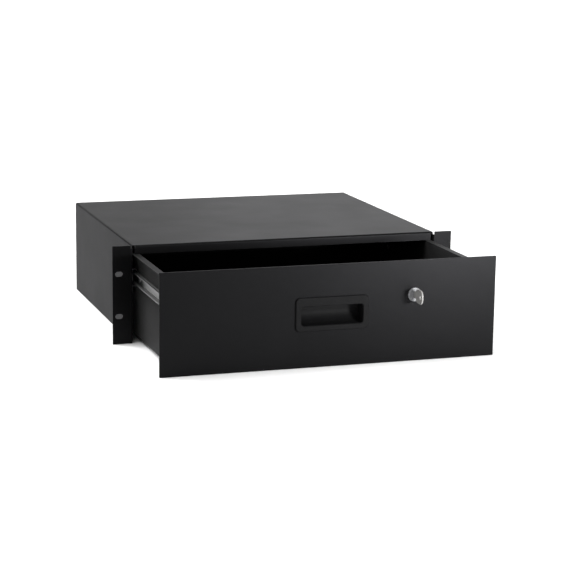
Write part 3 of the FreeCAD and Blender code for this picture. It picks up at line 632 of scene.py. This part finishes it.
def plate(outlines, thickness, edge):
    """Flat piece in the YZ plane with rounded edges. The outlines after the first are its holes."""
    data = bpy.data.curves.new("plate", "CURVE")
    data.dimensions = "2D"
    data.fill_mode = "BOTH"
    data.extrude = thickness / 2 - edge
    data.bevel_depth = edge
    data.bevel_resolution = 2
    data.offset = -edge
    for outline in outlines:
        spline = data.splines.new("POLY")
        spline.points.add(len(outline) - 1)
        for point, spot in zip(spline.points, outline):
            point.co = (*spot, 0, 1)
        spline.use_cyclic_u = True
    return settled(placed("plate", data))


def key():
    low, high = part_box("lock_key")
    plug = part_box("lock_plug")
    half = (high.z - low.z) / 2
    bow_end = low.y + 22.0 * MM
    neck_end = bow_end + 3.0 * MM
    thickness = high.x - low.x
    corner = 7.0 * MM

    def bow(inset):
        inner = corner - inset
        spots = [(bow_end - corner, -half + corner, -90, 0), (bow_end - corner, half - corner, 0, 90),
                 (low.y + corner, half - corner, 90, 180), (low.y + corner, -half + corner, 180, 270)]
        return [point for along, up, start, end in spots
                for point in round_corner((along, up), inner, start, end)]

    ring_at = (low.y + 6.0 * MM, 0)
    hole = round_corner(ring_at, 2.5 * MM, 0, -345, 23)
    collar = round_corner(ring_at, 3.6 * MM, 0, -345, 23)
    neck, blade, step = 4.5 * MM, 3.6 * MM, 1.2 * MM  # half heights, and how deep the bits are cut
    start = plug[0].y
    depth = high.y + 0.3 * MM - start
    neck_start = bow_end - 1.0 * MM
    outline = [(neck_start, -neck), (neck_end, -neck), (neck_end, -blade)]
    for bit in range(3):
        place = start + depth * (bit + 1) / 4
        outline += [(place - 1.6 * MM, -blade), (place, -blade + step), (place + 1.6 * MM, -blade)]
    outline += [(high.y - step, -blade), (high.y, -blade + step), (high.y, blade), (neck_end, blade),
                (neck_end, neck), (neck_start, neck)]
    shape = bmesh.new()
    rim = plate([bow(0.0), bow(1.6 * MM)[::-1]], thickness, 0.35 * MM)
    web = plate([bow(1.2 * MM), hole], thickness * 0.7, 0.1 * MM)
    ring = plate([collar, hole], thickness * 0.95, 0.25 * MM)
    shank = plate([outline], thickness * 0.92, 0.15 * MM)
    for part in (rim, web, ring, shank):
        shape.from_mesh(part)
    middle = Matrix.Translation(Vector(((low.x + high.x) / 2, 0, (low.z + high.z) / 2)))
    upright = Matrix((Y, Z, X)).transposed().to_4x4()
    piece("key", meshed(shape, "key"), [middle @ upright], "key_nickel", "key", "lock_key")


fasteners()
lock()
key()


# ---- Drawer tray ----

def prism(outline, start, end):
    """Closed object with an outline in the XZ plane, drawn along Y."""
    shape = bmesh.new()
    rows = [[shape.verts.new((x, level, z)) for x, z in outline] for level in (start, end)]
    band(shape, *rows)
    shape.faces.new(rows[0][::-1])
    shape.faces.new(rows[1])
    bmesh.ops.recalc_face_normals(shape, faces=shape.faces)
    return placed("prism", meshed(shape, "prism"))


def tray():
    """The tray, with the top edges of its sides turned outwards over the slides."""
    low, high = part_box("drawer_tray")
    sheet, reach, rise = 1.2 * MM, 8.5 * MM, 1.6 * MM
    radius, root = 1.7 * MM, 2.6 * MM
    old_edge = 9.0 * MM  # the width that is cut off
    body = placed("tray", NODES["drawer_tray"].data.copy())
    weld = body.modifiers.new("weld", "WELD")
    weld.merge_threshold = JOINED
    tools = []
    for side in (-1, 1):
        inner, top = high.x - sheet, high.z + rise
        slot = [(high.x - old_edge, high.z - root), (high.x + MM, high.z - root),
                (high.x + MM, high.z + MM), (high.x - old_edge, high.z + MM)]
        bend = [round_corner((inner + radius, top - radius), size, start, end, 6)
                for size, start, end in ((radius, 180, 90), (radius - sheet, 90, 180))]
        edge = [(inner, high.z - 2 * root), *bend[0], (high.x + reach, top), (high.x + reach, top - sheet),
                *bend[1], (high.x, high.z - 2 * root)]
        for operation, outline, over in (("DIFFERENCE", slot, MM), ("UNION", edge, 0.0)):
            tool = prism([(side * x, z) for x, z in outline], low.y - over, high.y + over)
            change = body.modifiers.new(operation.lower(), "BOOLEAN")
            change.operation = operation
            change.solver = "EXACT"
            change.object = tool
            tools.append(tool)
    holder = piece("drawer_tray_shell", settled(body, *tools), [Matrix.Identity(4)], "powder_coat", "drawer",
                   "drawer_tray")
    soften(holder, EDGE["drawer_tray"])


tray()


# ---- Floor, light and camera ----

def floor():
    """Plain pale ground under the case."""
    mesh = bpy.data.meshes.new("ground")
    half = 9.0
    level = CAD_BOX[0].z - 0.2 * MM
    mesh.from_pydata([(-half, -half, level), (half, -half, level), (half, half, level), (-half, half, level)],
                     [], [(0, 1, 2, 3)])
    ground = placed("ground", mesh)
    g = Graph("ground")
    tone = g.blend(g.noise(3.0, 4.0), (0.93, 0.93, 0.93), (0.95, 0.95, 0.95))
    g.finish(Base_Color=tone, Roughness=0.9, Specular_IOR_Level=0.1, Normal=g.bump(g.noise(500.0), 0.05 * MM, 0.3))
    mesh.materials.append(g.material)


def surroundings():
    """White to the camera and in reflections, and dimmer as a light."""
    world = bpy.data.worlds.new("studio")
    bpy.context.scene.world = world
    world.use_nodes = True
    tree = world.node_tree
    tree.nodes.clear()
    path = tree.nodes.new("ShaderNodeLightPath")
    seen = tree.nodes.new("ShaderNodeMath")
    seen.operation = "MAXIMUM"
    tree.links.new(path.outputs["Is Camera Ray"], seen.inputs[0])
    tree.links.new(path.outputs["Is Glossy Ray"], seen.inputs[1])
    shown = tree.nodes.new("ShaderNodeMath")
    shown.operation = "MAXIMUM"
    tree.links.new(seen.outputs[0], shown.inputs[0])
    tree.links.new(path.outputs["Is Transmission Ray"], shown.inputs[1])
    strength = tree.nodes.new("ShaderNodeMapRange")
    strength.inputs["To Min"].default_value = 0.28
    strength.inputs["To Max"].default_value = 1.0
    tree.links.new(shown.outputs[0], strength.inputs["Value"])
    back = tree.nodes.new("ShaderNodeBackground")
    back.inputs["Color"].default_value = (1, 1, 1, 1)
    tree.links.new(strength.outputs[0], back.inputs["Strength"])
    output = tree.nodes.new("ShaderNodeOutputWorld")
    tree.links.new(back.outputs[0], output.inputs["Surface"])


def lamp(name, at, toward, width, height, watts):
    """Soft rectangular lamp, unseen by the camera."""
    light = bpy.data.lights.new(name, "AREA")
    light.shape = "RECTANGLE"
    light.size, light.size_y = width, height
    light.energy = watts
    holder = placed(name, light)
    holder.location = at
    holder.rotation_euler = (Vector(toward) - Vector(at)).to_track_quat("-Z", "Y").to_euler()
    holder.visible_camera = False


def wide_light(name, start, strength, width):
    """Even light from a far window that looks the given number of degrees wide."""
    light = bpy.data.lights.new(name, "SUN")
    light.energy = strength
    light.angle = math.radians(width)
    placed(name, light).rotation_euler = Vector(start).to_track_quat("Z", "Y").to_euler()


def camera():
    """Looks from the front left and a little above."""
    place = Vector((-0.7608, -2.2958, 0.5072))
    yaw, pitch, roll = (math.radians(angle) for angle in (18.305, -11.809, 0.735))
    ahead = Vector((math.sin(yaw) * math.cos(pitch), math.cos(yaw) * math.cos(pitch), math.sin(pitch)))
    right = Vector((math.cos(yaw), -math.sin(yaw), 0))
    up = right.cross(ahead)
    across = right * math.cos(roll) + up * math.sin(roll)
    above = up * math.cos(roll) - right * math.sin(roll)
    lens = bpy.data.cameras.new("camera")
    lens.lens = 114.6
    lens.sensor_width = 36.0
    lens.clip_end = 50.0
    holder = placed("camera", lens)
    holder.matrix_world = Matrix((across, above, -ahead)).transposed().to_4x4()
    holder.location = place
    bpy.context.scene.camera = holder


floor()
surroundings()
camera()
wide_light("overhead", (-0.25, 0.10, 0.96), 3.0, 50.0)
wide_light("left", (-0.77, 0.60, 0.21), 4.8, 30.0)
lamp("back_right", (1.7, 3.1, 1.0), (0.0, 0.2, 0.0), 2.0, 1.2, 11.0)
lamp("front_right", (0.45, -0.83, 0.11), (0.12, -0.187, 0.06), 0.14, 0.09, 9.5)
bpy.context.scene.view_settings.view_transform = "Standard"
